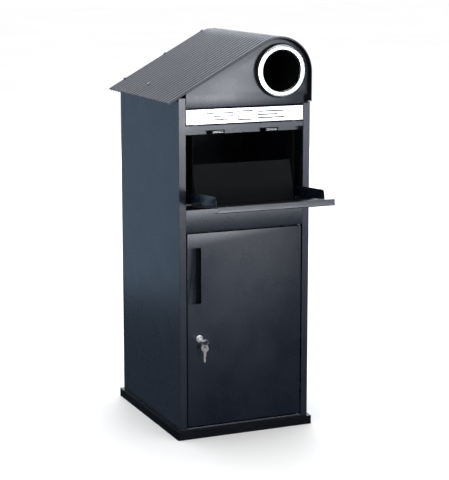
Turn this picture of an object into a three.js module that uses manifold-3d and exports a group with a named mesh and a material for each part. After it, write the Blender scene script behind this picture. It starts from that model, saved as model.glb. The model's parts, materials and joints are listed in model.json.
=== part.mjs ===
// Free-standing parcel drop box of folded steel sheet: a newspaper tube, a letter flap, a tilting parcel
// hopper and a locked collection door under a corrugated roof. Millimetres, +Z up, the front faces -Y.
// The origin is on the floor, at the centre of the plinth. The hopper is modelled shut and turned open by
// its group; the other moving pieces stand at rest: flap and door shut, lock open with the key in it.
import * as THREE from "three";
import { mergeVertices } from "three/addons/utils/BufferGeometryUtils.js";
import Module from "manifold-3d";

const wasm = await Module();
wasm.setup();

// ---- Driving dimensions ----
const WIDTH = 400;
const DEPTH = 475;
const SHEET = 1.2;
const GAP = 0.3; // between pieces that touch

const PLINTH = { outset: 10, height: 25, sheet: 2, ledge: 25, anchorRadius: 5.5, anchorInset: 60 };
const POST = { width: 20, depth: 24, top: 972 };
const DOOR = { bottom: 34, top: 594, depth: 20, clearance: 3, hinge: 6 };
const OPENING = { bottom: 662, top: 881 }; // of the hopper, between the middle rail and the head rail
const LETTER_SLOT = { bottom: 895, top: 943 }; // between the head rail and the gable panel
const FLAP = { bottom: 899.3, top: 939, hingeZ: 935.5, hingeSetback: 6, side: 2.3, pin: 1.5 };
const HOPPER = { hingeZ: 674.5, hingeSetback: 5.5, length: 218, halfWidth: 174, openAngle: 81.5, pin: 3 };
const LIP = { projection: 17, grip: 25 }; // the pull along the hopper's upper edge
const CHEEK = { x: 162.5, sheet: 1.5, inner: 43, outer: 26, length: 180, tail: 40, round: 14 };
const GUARD = { x: 155, front: -226, back: -180, bottom: 705, top: 866 };
const ROOF = { arcX: 100, arcZ: 1033, radius: 102, slope: 29, eaveX: -237, skirtBottom: 951 };
const ROOF_SHEET = { thickness: 1, ribs: 24, ribDepth: 5, front: 15, back: 3, arcSteps: 7, clearance: 7 };
const TUBE = { x: 104, z: 1039.5, inner: 56, wall: 1.5 };
const BEZEL = { inner: 54.5, outer: 74, depth: 15, lip: 6, gasket: 76.5, gasketDepth: 3 };
const HANDLE = { left: -175.5, right: -135, bottom: 391.5, top: 552, slope: 4, undercut: 8, depth: 18.5 };
const LOCK = { x: -141, z: 291, head: 10.2, barrel: 8.2, plug: 5, cam: 49 };
const KEY = { bow: 11, bowCentre: 16, hole: 3.7, holeCentre: 21.5, thickness: 2 };
const RING = { radius: 9.6, wire: 0.8, lean: 47 };
const CLEARANCE = 0.3; // radial, of a pin in its hole

// ---- Dimensions worked out from them ----
const SIDE = WIDTH / 2;
const FRONT = -DEPTH / 2;
const BACK = DEPTH / 2;
const BASE = PLINTH.height + GAP;
const POST_INNER = SIDE - POST.width;
const FRAME_BACK = FRONT + POST.depth;
const BETWEEN_POSTS = POST_INNER - GAP;
const DOOR_HALF = POST_INNER - DOOR.clearance;
const BACK_FLANGE = 25;
const SKIRT_STEP = ROOF.skirtBottom - 3; // height at which the right-hand wall steps in behind the skirt
const GABLE_STEP = POST.top + 4; // height at which the gable panel widens over the right-hand post
const SLOPE = THREE.MathUtils.degToRad(ROOF.slope);
const SKIRT = ROOF.arcX + ROOF.radius; // of the roof, outside the right-hand wall
const ROOF_FRONT = FRONT - ROOF_SHEET.front;
const ROOF_BACK = BACK + ROOF_SHEET.back;

const FINISH = {
  paint: { color: 0x2b323b, roughness: 0.42, metalness: 0.25 },
  roofPaint: { color: 0x4a4e58, roughness: 0.5, metalness: 0.3 },
  plinthPaint: { color: 0x15181c, roughness: 0.5, metalness: 0.2 },
  innerPaint: { color: 0x17191d, roughness: 0.6, metalness: 0.2 },
  polished: { color: 0xe6e8ea, roughness: 0.12, metalness: 1.0 },
  chrome: { color: 0xd6d8da, roughness: 0.18, metalness: 1.0 },
  zinc: { color: 0xa9adb1, roughness: 0.35, metalness: 0.9 },
  rubber: { color: 0x0d0d0e, roughness: 0.8, metalness: 0.0 },
};

// ---- Solids ----
function toSolid(geometry) {
  const bare = geometry.clone();
  bare.deleteAttribute("normal");
  bare.deleteAttribute("uv");
  const merged = mergeVertices(bare, 1e-4);
  return new wasm.Manifold(
    new wasm.Mesh({
      numProp: 3,
      vertProperties: merged.attributes.position.array,
      triVerts: new Uint32Array(merged.index.array),
    }),
  );
}

function toGeometry(solid) {
  const mesh = solid.getMesh();
  const geometry = new THREE.BufferGeometry();
  geometry.setAttribute("position", new THREE.BufferAttribute(mesh.vertProperties, mesh.numProp));
  geometry.setIndex(new THREE.BufferAttribute(mesh.triVerts, 1));
  const flat = geometry.toNonIndexed();
  flat.computeVertexNormals();
  return flat;
}

const join = (first, ...others) => others.reduce((sum, solid) => sum.add(solid), first);
const cut = (first, ...others) => others.reduce((rest, solid) => rest.subtract(solid), first);

function box([x0, x1], [y0, y1], [z0, z1]) {
  const geometry = new THREE.BoxGeometry(x1 - x0, y1 - y0, z1 - z0);
  geometry.translate((x0 + x1) / 2, (y0 + y1) / 2, (z0 + z1) / 2);
  return toSolid(geometry);
}

// An outline of [a, b] points, extruded. a and b are y and z along X, x and z along Y, x and y along Z.
function prism(axis, outline, from, to) {
  const shape = new THREE.Shape(outline.map(([a, b]) => new THREE.Vector2(a, b)));
  const geometry = new THREE.ExtrudeGeometry(shape, { depth: to - from, bevelEnabled: false });
  const x = new THREE.Vector3(1, 0, 0);
  const y = new THREE.Vector3(0, 1, 0);
  const z = new THREE.Vector3(0, 0, 1);
  const frame = new THREE.Matrix4();
  if (axis === "x") frame.makeBasis(y, z, x).setPosition(from, 0, 0);
  if (axis === "y") frame.makeBasis(x, z, y.negate()).setPosition(0, to, 0);
  if (axis === "z") frame.setPosition(0, 0, from);
  return toSolid(geometry.applyMatrix4(frame));
}

// A round bar along an axis, from one place on it to another; a and b place it as for a prism.
function bar(axis, radius, [a, b], from, to, sides = 16) {
  const outline = [];
  for (let i = 0; i < sides; i += 1) {
    const angle = (2 * Math.PI * i) / sides;
    outline.push([a + radius * Math.cos(angle), b + radius * Math.sin(angle)]);
  }
  return prism(axis, outline, from, to);
}

// The outline of a folded sheet: a path of [a, b] points, thickened to the left of its direction.
function folded(path, thickness = SHEET) {
  const points = path.map(([a, b]) => new THREE.Vector2(a, b));
  const normals = points.slice(1).map((point, i) => {
    const along = point.clone().sub(points[i]).normalize();
    return new THREE.Vector2(-along.y, along.x);
  });
  const inner = points.map((point, i) => {
    const before = normals[Math.max(i - 1, 0)];
    const after = normals[Math.min(i, normals.length - 1)];
    const miter = before.clone().add(after);
    miter.multiplyScalar(thickness / (1 + before.dot(after)));
    return point.clone().add(miter);
  });
  const outline = [...points].reverse().concat(inner);
  return outline.map((point) => [point.x, point.y]);
}

function turned(profile, sides = 32) {
  return toSolid(new THREE.LatheGeometry(profile.map(([r, y]) => new THREE.Vector2(r, y)), sides));
}

const root = new THREE.Group();

function addPart(group, name, solid, finish) {
  const mesh = new THREE.Mesh(toGeometry(solid), new THREE.MeshStandardMaterial(FINISH[finish]));
  mesh.name = name;
  group.add(mesh);
}

// Adds left_NAME as it is made and right_NAME mirrored.
function addPair(group, name, makeSolid, finish) {
  addPart(group, `left_${name}`, makeSolid(), finish);
  addPart(group, `right_${name}`, makeSolid().mirror([1, 0, 0]), finish);
}

// ---- Roof line, in X and Z: up the slope from the eave, over the arc and down the right-hand skirt ----
const slopeAlong = [Math.cos(SLOPE), Math.sin(SLOPE)];
const slopeNormal = [-Math.sin(SLOPE), Math.cos(SLOPE)];

function arcPoint(step, inset) {
  const angle = (Math.PI / 2 + SLOPE) * (1 - step / ROOF_SHEET.arcSteps);
  const radius = ROOF.radius - inset;
  return [ROOF.arcX + radius * Math.cos(angle), ROOF.arcZ + radius * Math.sin(angle)];
}

// The height of the slope at x, a distance inset below the ridge line of the ribs.
function slopeHeight(x, inset) {
  const [tangentX, tangentZ] = arcPoint(0, inset);
  return tangentZ + ((x - tangentX) * slopeAlong[1]) / slopeAlong[0];
}

class RoofLine extends THREE.Curve {
  // Stations: the eave, then the ends of the arc's steps, then the foot of the skirt.
  getPoint(t) {
    const station = Math.round(t * RoofLine.steps);
    if (station === 0) return new THREE.Vector3(ROOF.eaveX, 0, slopeHeight(ROOF.eaveX, 0));
    if (station === RoofLine.steps) return new THREE.Vector3(SKIRT, 0, ROOF.skirtBottom);
    const [x, z] = arcPoint(station - 1, 0);
    return new THREE.Vector3(x, 0, z);
  }

  getTangent(t) {
    const station = Math.round(t * RoofLine.steps);
    const step = THREE.MathUtils.clamp(station - 1, 0, ROOF_SHEET.arcSteps);
    const angle = (Math.PI / 2 + SLOPE) * (1 - step / ROOF_SHEET.arcSteps);
    return new THREE.Vector3(Math.sin(angle), 0, -Math.cos(angle));
  }

  getPointAt(u) {
    return this.getPoint(u);
  }

  getTangentAt(u) {
    return this.getTangent(u);
  }
}
RoofLine.steps = ROOF_SHEET.arcSteps + 2;

// The outline under the roof, inset from it and from its own edges: a wall from the left edge to the right
// edge, stepping in behind the skirt.
function gableOutline({ left, right, bottom, step, inset }) {
  const under = ROOF_SHEET.clearance + inset;
  const skirt = SKIRT - under;
  const outline = [
    [left + inset, bottom + inset],
    [right - inset, bottom + inset],
    [right - inset, step - inset],
    [skirt, step - inset],
  ];
  for (let i = ROOF_SHEET.arcSteps; i >= 0; i -= 1) outline.push(arcPoint(i, under));
  outline.push([left + inset, slopeHeight(left + inset, under)]);
  return outline;
}

// A point on the roof's ribs and the way it faces; along is measured from the eave, over the slope.
function roofSeat(along, y) {
  const slopeLength = (arcPoint(0, 0)[0] - ROOF.eaveX) / slopeAlong[0];
  const turn = Math.max(along - slopeLength, 0) / ROOF.radius;
  const angle = Math.PI / 2 + SLOPE - turn;
  if (turn > 0) {
    const x = ROOF.arcX + ROOF.radius * Math.cos(angle);
    const z = ROOF.arcZ + ROOF.radius * Math.sin(angle);
    return { at: [x, y, z], facing: [Math.cos(angle), 0, Math.sin(angle)] };
  }
  const x = ROOF.eaveX + along * slopeAlong[0];
  return { at: [x, y, slopeHeight(x, 0)], facing: [slopeNormal[0], 0, slopeNormal[1]] };
}

const RIB_PITCH = (ROOF_BACK - ROOF_FRONT) / ROOF_SHEET.ribs;
const ribTop = (rib) => ROOF_FRONT + (rib + 0.5) * RIB_PITCH;

// The roof's screws stand on its ribs: into the back panel, the left-hand wall and the right-hand wall.
const BACK_SEATS = [56, 204, 342].map((along) => roofSeat(along, ribTop(23)));
const LEFT_SEATS = [roofSeat(56, ribTop(13))];
const RIGHT_SEATS = [2, 12, 21].map((rib) => ({
  at: [SKIRT, ribTop(rib), ROOF.skirtBottom + 12],
  facing: [1, 0, 0],
}));
const ROOF_SEATS = [...BACK_SEATS, ...LEFT_SEATS, ...RIGHT_SEATS];
const POST_SEAT = { at: [-SIDE, FRONT + 14, 964], facing: [-1, 0, 0] };

// The place of a screw whose own axis is +Z.
function seatMatrix({ at, facing }) {
  const up = new THREE.Vector3(0, 0, 1);
  const turn = new THREE.Quaternion().setFromUnitVectors(up, new THREE.Vector3(...facing));
  return new THREE.Matrix4().compose(new THREE.Vector3(...at), turn, new THREE.Vector3(1, 1, 1));
}

const ROOF_SCREW = { shank: 1.8, length: 14, head: 3.6, headHeight: 2.2, sides: 6, washer: 5 };
const POST_SCREW = { shank: 1.5, length: 8, head: 2.6, headHeight: 1.4, sides: 12, washer: 3.4 };

function placed(solid, seat) {
  return toSolid(toGeometry(solid).applyMatrix4(seatMatrix(seat)));
}

function screwHoles(size, seats) {
  const drill = bar("z", size.shank + CLEARANCE, [0, 0], -size.length - 6, 6, 8);
  return seats.map((seat) => placed(drill, seat));
}

function screw(size, seat) {
  const washerTop = GAP + 1;
  const made = join(
    bar("z", size.shank, [0, 0], -size.length, washerTop, 8),
    bar("z", size.washer, [0, 0], GAP, washerTop),
    bar("z", size.head, [0, 0], washerTop - 0.1, washerTop + size.headHeight, size.sides),
  );
  return placed(made, seat);
}

// ---- Base and walls ----
function plinth() {
  const x = SIDE + PLINTH.outset;
  const y = BACK + PLINTH.outset;
  const wall = PLINTH.sheet;
  const top = PLINTH.height;
  const anchors = [];
  for (const sideX of [-1, 1]) {
    for (const sideY of [-1, 1]) {
      const place = [sideX * (x - PLINTH.anchorInset), sideY * (y - PLINTH.anchorInset)];
      anchors.push(bar("z", PLINTH.anchorRadius, place, -1, wall + 1));
    }
  }
  return cut(
    box([-x, x], [-y, y], [0, top]),
    box([wall - x, x - wall], [wall - y, y - wall], [wall, top - wall]),
    box([PLINTH.ledge - x, x - PLINTH.ledge], [PLINTH.ledge - y, y - PLINTH.ledge], [wall, top + 1]),
    ...anchors,
  );
}

function floorPanel() {
  const x = SIDE - SHEET - GAP;
  const rear = BACK - SHEET - GAP;
  const bottom = BASE + SHEET + GAP;
  const rim = 20;
  const front = FRAME_BACK + GAP;
  return cut(
    box([-x, x], [front, rear], [bottom, bottom + rim]),
    box([SHEET - x, x - SHEET], [front - 1, rear - SHEET], [bottom + SHEET, bottom + rim + 1]),
  );
}

function leftSidePanel() {
  const knee = slopeHeight(-SIDE, ROOF_SHEET.clearance);
  const flangeX = -POST_INNER - 1;
  const path = [
    [flangeX, slopeHeight(flangeX, ROOF_SHEET.clearance)],
    [-SIDE, knee],
    [-SIDE, BASE],
  ];
  const sheet = prism("y", folded(path), FRONT + SHEET + GAP, BACK - BACK_FLANGE - GAP);
  return cut(sheet, ...screwHoles(ROOF_SCREW, LEFT_SEATS), ...screwHoles(POST_SCREW, [POST_SEAT]));
}

function rightSidePanel() {
  const skirt = SKIRT - ROOF_SHEET.clearance - 0.5;
  const path = [
    [SIDE, BASE],
    [SIDE, SKIRT_STEP],
    [skirt, SKIRT_STEP],
    [skirt, GABLE_STEP - 1],
  ];
  const sheet = prism("y", folded(path), FRONT + SHEET + GAP, BACK - BACK_FLANGE - GAP);
  return cut(sheet, ...screwHoles(ROOF_SCREW, RIGHT_SEATS));
}

function backPanel() {
  const edges = { left: -SIDE, right: SIDE, bottom: BASE, step: SKIRT_STEP };
  return cut(
    prism("y", gableOutline({ ...edges, inset: 0 }), BACK - BACK_FLANGE, BACK),
    prism("y", gableOutline({ ...edges, inset: SHEET }), BACK - BACK_FLANGE - 1, BACK - SHEET),
    ...screwHoles(ROOF_SCREW, BACK_SEATS),
  );
}

// ---- Front frame ----
function post() {
  const path = [
    [-SIDE + SHEET + GAP, FRAME_BACK],
    [-SIDE + SHEET + GAP, FRONT + SHEET],
    [-SIDE, FRONT + SHEET],
    [-SIDE, FRONT],
    [-POST_INNER, FRONT],
    [-POST_INNER, FRAME_BACK],
    [-POST_INNER - SHEET, FRAME_BACK],
    [-POST_INNER - SHEET, FRONT + SHEET],
    [-SIDE + 2 * SHEET + GAP, FRONT + SHEET],
    [-SIDE + 2 * SHEET + GAP, FRAME_BACK],
  ];
  return cut(
    prism("z", path, BASE, POST.top),
    hopperPinHole(-SIDE, -POST_INNER + 1),
    flapPinHole(-SIDE, -POST_INNER + 1),
  );
}

const leftPost = () => cut(post(), ...screwHoles(POST_SCREW, [POST_SEAT]));

// Narrower behind the roof's skirt; its rear leg steps in with the wall.
function rightPost() {
  const skirt = SKIRT - ROOF_SHEET.clearance - 2;
  const top = POST.top + 1;
  return cut(
    post().mirror([1, 0, 0]),
    box([skirt, SIDE + 1], [FRONT - 1, FRAME_BACK + 1], [ROOF.skirtBottom - 0.6, top]),
    box([skirt, SIDE + 1], [FRONT + SHEET + 0.1, FRAME_BACK + 1], [SKIRT_STEP - 1.5, top]),
  );
}

const doorHinge = [DOOR_HALF - DOOR.hinge, FRONT + DOOR.hinge];
const doorPinHole = (from, to) => bar("z", 3 + CLEARANCE, doorHinge, from, to);
const hopperHinge = [FRONT + HOPPER.hingeSetback, HOPPER.hingeZ];
const hopperPinHole = (from, to) => bar("x", HOPPER.pin + CLEARANCE, hopperHinge, from, to);
const flapHinge = [FRONT + FLAP.hingeSetback, FLAP.hingeZ];
const flapPinHole = (from, to) => bar("x", FLAP.pin + CLEARANCE, flapHinge, from, to, 12);

const STOP_LIP = 12; // of the rails, behind the door's edge
const stopY = FRONT + DOOR.depth + 1.8;

function bottomRail() {
  const top = DOOR.bottom - DOOR.clearance;
  const path = [
    [FRONT, BASE],
    [FRONT, top],
    [stopY, top],
    [stopY, top + STOP_LIP],
  ];
  const outline = folded([...path].reverse());
  return cut(prism("x", outline, -BETWEEN_POSTS, BETWEEN_POSTS), doorPinHole(BASE, top + 1));
}

function middleRail() {
  const bottom = DOOR.top + DOOR.clearance;
  const path = [
    [FRAME_BACK - 4, OPENING.bottom],
    [FRONT, OPENING.bottom],
    [FRONT, bottom],
    [stopY, bottom],
    [stopY, bottom - STOP_LIP],
  ];
  const rail = prism("x", folded(path), -BETWEEN_POSTS, BETWEEN_POSTS);
  return cut(rail, doorPinHole(bottom - 1, bottom + SHEET + 1));
}

const CATCH = { x: 82, halfWidth: 20, notch: 26, height: 11, depth: 21 };

function headRail() {
  const face = hopperHinge[0] - 3.7; // behind the shut hopper's sheet
  const path = [
    [FRAME_BACK, LETTER_SLOT.bottom],
    [face, LETTER_SLOT.bottom],
    [face, OPENING.top],
    [FRAME_BACK, OPENING.top],
    [FRAME_BACK, OPENING.top - 13],
  ];
  const rail = prism("x", folded(path), -BETWEEN_POSTS, BETWEEN_POSTS);
  const flapStops = [-1, 1].map((side) =>
    box([side * 150 - 6, side * 150 + 6], [face, face + SHEET], [OPENING.top + 1, FLAP.bottom + 6]),
  );
  const notches = [-1, 1].map((side) =>
    box(
      [side * CATCH.x - CATCH.notch, side * CATCH.x + CATCH.notch],
      [FRAME_BACK - 1, FRAME_BACK + SHEET + 1],
      [OPENING.top - 14, OPENING.top],
    ),
  );
  return cut(join(rail, ...flapStops), ...notches);
}

function magneticCatch(side) {
  const front = hopperHinge[0] - 3.4;
  const top = OPENING.top - GAP;
  const x = side * CATCH.x;
  const jaw = 3;
  return cut(
    box([x - CATCH.halfWidth, x + CATCH.halfWidth], [front, front + CATCH.depth], [top - CATCH.height, top]),
    box(
      [x - CATCH.halfWidth + jaw, x + CATCH.halfWidth - jaw],
      [front - 1, front + 1.5],
      [top - CATCH.height + jaw, top - jaw],
    ),
  );
}

function gablePanel() {
  const edges = { left: -BETWEEN_POSTS, right: BETWEEN_POSTS, bottom: LETTER_SLOT.top, step: GABLE_STEP };
  const outer = gablePanelOutline(edges, 0);
  const inner = gablePanelOutline(edges, SHEET);
  return cut(
    prism("y", outer, FRONT, FRONT + DOOR.depth),
    prism("y", inner, FRONT + SHEET, FRONT + DOOR.depth + 1),
    bar("y", TUBE.inner + TUBE.wall + CLEARANCE, [TUBE.x, TUBE.z], FRONT - 1, FRONT + DOOR.depth, 32),
  );
}

// The gable panel widens over the right-hand post, where a wall would step in.
function gablePanelOutline(edges, inset) {
  const outline = gableOutline({ ...edges, inset });
  outline[2][1] = edges.step + inset;
  outline[3][1] = edges.step + inset;
  return outline;
}

// ---- Roof ----
function roofSheet() {
  const crest = 0;
  const valley = ROOF_SHEET.ribDepth;
  const wave = [[ROOF_FRONT, valley]];
  for (let rib = 0; rib < ROOF_SHEET.ribs; rib += 1) {
    const start = ROOF_FRONT + rib * RIB_PITCH;
    wave.push([start + 0.175 * RIB_PITCH, valley]);
    wave.push([start + 0.325 * RIB_PITCH, crest]);
    wave.push([start + 0.675 * RIB_PITCH, crest]);
    wave.push([start + 0.825 * RIB_PITCH, valley]);
  }
  wave.push([ROOF_BACK, valley]);
  const lower = [...wave].reverse().map(([y, inset]) => [y, inset + ROOF_SHEET.thickness]);
  const section = new THREE.Shape([...wave, ...lower].map(([y, inset]) => new THREE.Vector2(-y, inset)));
  const line = new RoofLine();
  const options = { steps: RoofLine.steps, bevelEnabled: false, extrudePath: line };
  return cut(toSolid(new THREE.ExtrudeGeometry(section, options)), ...screwHoles(ROOF_SCREW, ROOF_SEATS));
}

// ---- Newspaper tube, letter chute and hopper guards ----
const atTube = (solid) => solid.translate([TUBE.x, 0, TUBE.z]);

function newspaperTube() {
  const outer = TUBE.inner + TUBE.wall;
  const front = FRONT + GAP;
  const rear = BACK - SHEET - GAP;
  return atTube(turned([[TUBE.inner, front], [outer, front], [outer, rear], [TUBE.inner, rear], [TUBE.inner, front]]));
}

function bezelGasket() {
  const rear = FRONT - GAP;
  const front = rear - BEZEL.gasketDepth;
  const inner = TUBE.inner + 5;
  return atTube(turned([[inner, front], [BEZEL.gasket, front], [BEZEL.gasket, rear], [inner, rear], [inner, front]]));
}

// A flat polished face that rolls into the tube.
function bezelRing() {
  const rear = FRONT - 2 * GAP - BEZEL.gasketDepth;
  const front = rear - BEZEL.depth;
  const profile = [[BEZEL.inner, rear]];
  const steps = 4;
  for (let i = 0; i <= steps; i += 1) {
    const angle = (Math.PI / 2) * (i / steps);
    profile.push([
      BEZEL.inner + BEZEL.lip * (1 - Math.cos(angle)),
      front + BEZEL.lip * (1 - Math.sin(angle)),
    ]);
  }
  profile.push([BEZEL.outer - 2, front], [BEZEL.outer - 0.6, front + 0.6], [BEZEL.outer, front + 2]);
  profile.push([BEZEL.outer, rear], [BEZEL.inner, rear]);
  return atTube(turned(profile));
}

function letterChute() {
  const start = [FRAME_BACK + GAP, LETTER_SLOT.bottom - 2];
  const end = [start[0] + 95, start[1] - 24];
  const halfWidth = SIDE - SHEET - GAP;
  const wallHeight = 26;
  const raised = ([y, z]) => [y, z + wallHeight];
  const outline = [start, end, raised(end), raised(start)];
  const inner = [start, end, raised(end), raised(start)].map(([y, z]) => [y, z + SHEET]);
  inner[0][0] -= 1;
  inner[3][0] -= 1;
  inner[1][0] += 1;
  inner[2][0] += 1;
  return cut(
    prism("x", outline, -halfWidth, halfWidth),
    prism("x", inner, SHEET - halfWidth, halfWidth - SHEET),
  );
}

// Keeps parcels off the hopper's cheek, and stops the cheek's tail when the hopper is fully open.
function leftGuard() {
  const path = [
    [-SIDE + SHEET + GAP, GUARD.back],
    [-GUARD.x, GUARD.back],
    [-GUARD.x, GUARD.front],
  ];
  const stop = box([-GUARD.x - 10, -GUARD.x], [-196, -188], [709, 711]);
  return join(prism("z", folded(path), GUARD.bottom, GUARD.top), stop);
}

// Its head is inside the post.
function leftHopperPin() {
  const head = -POST_INNER - SHEET - GAP;
  return join(
    bar("x", HOPPER.pin, hopperHinge, head - 3, -CHEEK.x + 4),
    bar("x", HOPPER.pin + 0.9, hopperHinge, head - 3, head),
  );
}

const leftFlapPin = () => bar("x", FLAP.pin, flapHinge, -POST_INNER - 4, -POST_INNER + 6, 12);

// ---- Hopper, shut, with its hinge axis at the group's origin ----
const hopper = new THREE.Group();
hopper.position.set(0, ...hopperHinge);
hopper.rotation.x = THREE.MathUtils.degToRad(HOPPER.openAngle);
const sheetInner = -4; // inner face of the hopper's sheet, from the hinge axis

function hopperTray() {
  const gripY = sheetInner - SHEET - LIP.projection;
  const path = [
    [sheetInner, -5],
    [sheetInner, HOPPER.length],
    [gripY, HOPPER.length],
    [gripY, HOPPER.length - LIP.grip],
  ];
  return prism("x", folded(path), -HOPPER.halfWidth, HOPPER.halfWidth);
}

function leftHopperCheek() {
  const seat = sheetInner + GAP;
  const innerEdge = sheetInner + CHEEK.inner;
  const outerEdge = sheetInner + CHEEK.outer;
  const tailStart = 18;
  const outline = [
    [seat, -5],
    [tailStart, -5],
    [tailStart, -CHEEK.tail],
    [innerEdge, -CHEEK.tail],
  ];
  const roundSteps = 4;
  for (let i = 0; i <= roundSteps; i += 1) {
    const angle = (Math.PI / 2) * (i / roundSteps);
    outline.push([
      outerEdge - CHEEK.round * (1 - Math.cos(angle)),
      CHEEK.length - CHEEK.round * (1 - Math.sin(angle)),
    ]);
  }
  outline.push([seat, CHEEK.length]);
  return cut(
    prism("x", outline, -CHEEK.x, -CHEEK.x + CHEEK.sheet),
    bar("x", HOPPER.pin + CLEARANCE, [0, 0], -SIDE, 0),
  );
}

// Closes the mouth behind the parcel while the hopper is open, and tips it inward as the hopper shuts.
function hopperBackPlate() {
  const root = sheetInner + GAP;
  const lean = THREE.MathUtils.degToRad(6.5);
  const length = 115;
  const path = [
    [root + length * Math.cos(lean), 8 - length * Math.sin(lean)],
    [root, 8],
    [root, 28],
  ];
  return prism("x", folded([...path].reverse()), -GUARD.x + 4, GUARD.x - 4);
}

// ---- Letter flap ----
function letterFlap() {
  const x = POST_INNER - FLAP.side;
  const plate = box([-x, x], [FRONT, FRONT + SHEET], [FLAP.bottom, FLAP.top]);
  const ears = [-1, 1].map((side) => {
    const edges = side < 0 ? [-x, -x + SHEET] : [x - SHEET, x];
    return box(edges, [FRONT, FRONT + 10], [FLAP.hingeZ - 6, FLAP.top]);
  });
  return cut(join(plate, ...ears), flapPinHole(-SIDE, SIDE));
}

// ---- Collection door, with handle, lock and keys ----
function doorPanel() {
  const depth = [FRONT, FRONT + DOOR.depth];
  return cut(
    box([-DOOR_HALF, DOOR_HALF], depth, [DOOR.bottom, DOOR.top]),
    box(
      [SHEET - DOOR_HALF, DOOR_HALF - SHEET],
      [FRONT + SHEET, depth[1] + 1],
      [DOOR.bottom + SHEET, DOOR.top - SHEET],
    ),
    box([HANDLE.left, HANDLE.right], [FRONT - 1, FRONT + SHEET + 1], [HANDLE.bottom, HANDLE.top]),
    bar("y", LOCK.barrel + CLEARANCE, [LOCK.x, LOCK.z], FRONT - 1, FRONT + SHEET + 1),
    doorPinHole(DOOR.bottom - 1, DOOR.top + 1),
  );
}

function doorStiffener() {
  const near = FRONT + SHEET + GAP;
  const far = FRONT + 14;
  const path = [
    [-35, near],
    [-20, near],
    [-20, far],
    [20, far],
    [20, near],
    [35, near],
  ];
  return prism("z", folded(path), DOOR.bottom + 20, DOOR.top - 20);
}

// A pocket behind the door's left edge: a floor that slopes in, then an undercut for the fingertips.
function handleCup() {
  const near = FRONT + SHEET + GAP;
  const far = FRONT + HANDLE.depth;
  const start = HANDLE.left + 27;
  const end = HANDLE.right + HANDLE.undercut;
  const floor = [
    [HANDLE.left + 0.6, near - 0.6],
    [start, near + HANDLE.slope],
    [start, far],
    [end, far],
    [end, near],
  ];
  const half = SHEET / 2;
  const closing = [
    [HANDLE.left + 3, near],
    [start - half, near + HANDLE.slope + half],
    [start - half, far + half],
    [end + half, far + half],
    [end + half, near],
  ];
  const low = HANDLE.bottom - SHEET;
  const high = HANDLE.top + SHEET;
  return cut(
    join(
      prism("z", folded(floor), low, high),
      prism("z", closing, low, HANDLE.bottom),
      prism("z", closing, HANDLE.top, high),
    ),
    box([-SIDE, SIDE], [FRONT - 5, near], [low - 1, HANDLE.bottom]),
    box([-SIDE, SIDE], [FRONT - 5, near], [HANDLE.top, high + 1]),
  );
}

const lockAxis = [LOCK.x, LOCK.z];
const camY = FRAME_BACK + 1.8;

function lockBarrel() {
  return cut(
    join(
      bar("y", LOCK.barrel, lockAxis, FRONT - 1, camY - 1.8, 24),
      bar("y", LOCK.head, lockAxis, FRONT - 2.8, FRONT - GAP, 24),
    ),
    bar("y", LOCK.plug + CLEARANCE, lockAxis, FRONT - 4, camY, 24),
  );
}

function lockNut() {
  const near = FRONT + SHEET + GAP;
  return cut(
    bar("y", LOCK.barrel + 4, lockAxis, near, near + 4, 6),
    bar("y", LOCK.barrel + CLEARANCE, lockAxis, near - 1, near + 5, 24),
  );
}

const keyZ = KEY.thickness / 2;

function lockPlug() {
  return cut(
    bar("y", LOCK.plug, lockAxis, FRONT - 2.4, camY - GAP, 24),
    box([LOCK.x - 4.1, LOCK.x + 4.1], [FRONT - 3, FRONT + 18], [LOCK.z - keyZ - GAP, LOCK.z + keyZ + GAP]),
    bar("y", 1.6, lockAxis, FRONT + 19, camY, 12),
  );
}

// Points down while the lock is open, and behind the left-hand post after a quarter turn.
function lockCam() {
  const outline = [
    [LOCK.x - 7, LOCK.z + 7],
    [LOCK.x - 7, LOCK.z - LOCK.cam + 3],
    [LOCK.x - 4, LOCK.z - LOCK.cam],
    [LOCK.x + 4, LOCK.z - LOCK.cam],
    [LOCK.x + 7, LOCK.z - LOCK.cam + 3],
    [LOCK.x + 7, LOCK.z + 7],
  ];
  return cut(prism("y", outline, camY, camY + 2), bar("y", 1.9, lockAxis, camY - 1, camY + 3, 12));
}

function camScrew() {
  return join(
    bar("y", 1.3, lockAxis, FRONT + 19.5, camY + 2 + GAP, 12),
    bar("y", 3.5, lockAxis, camY + 2 + GAP, camY + 5, 12),
  );
}

// A flat key along -Y from its shoulder, in a frame whose +X crosses the bow.
function flatKey() {
  const bow = bar("z", KEY.bow, [0, -KEY.bowCentre], -keyZ, keyZ, 24);
  const neck = box([-4.5, 4.5], [-KEY.bowCentre + 6, 0], [-keyZ, keyZ]);
  const blade = box([-3.6, 3.6], [-2, 21], [-keyZ, keyZ]);
  const tip = prism("z", [[-3.6, 21], [3.6, 21], [1.2, 24], [-1.2, 24]], -keyZ, keyZ);
  return cut(join(bow, neck, blade, tip), bar("z", KEY.hole, [0, -KEY.holeCentre], -3, 3, 16));
}

function insertedKey() {
  const shorter = cut(flatKey(), box([-5, 5], [FRONT + 17 - (FRONT - 4), 30], [-3, 3]));
  return shorter.translate([LOCK.x, FRONT - 4, LOCK.z]);
}

const ringLean = THREE.MathUtils.degToRad(RING.lean);
const keyHole = [LOCK.x, FRONT - 4 - KEY.holeCentre, LOCK.z];
// The ring hangs across the front, through the hole in the lock's key and round the edge of its bow.
const ringCentre = [
  keyHole[0] + RING.radius * Math.cos(ringLean),
  keyHole[1],
  keyHole[2] - RING.radius * Math.sin(ringLean),
];

function keyRing() {
  const torus = new THREE.TorusGeometry(RING.radius, RING.wire, 8, 32);
  torus.rotateX(Math.PI / 2).translate(...ringCentre);
  return toSolid(torus);
}

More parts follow.
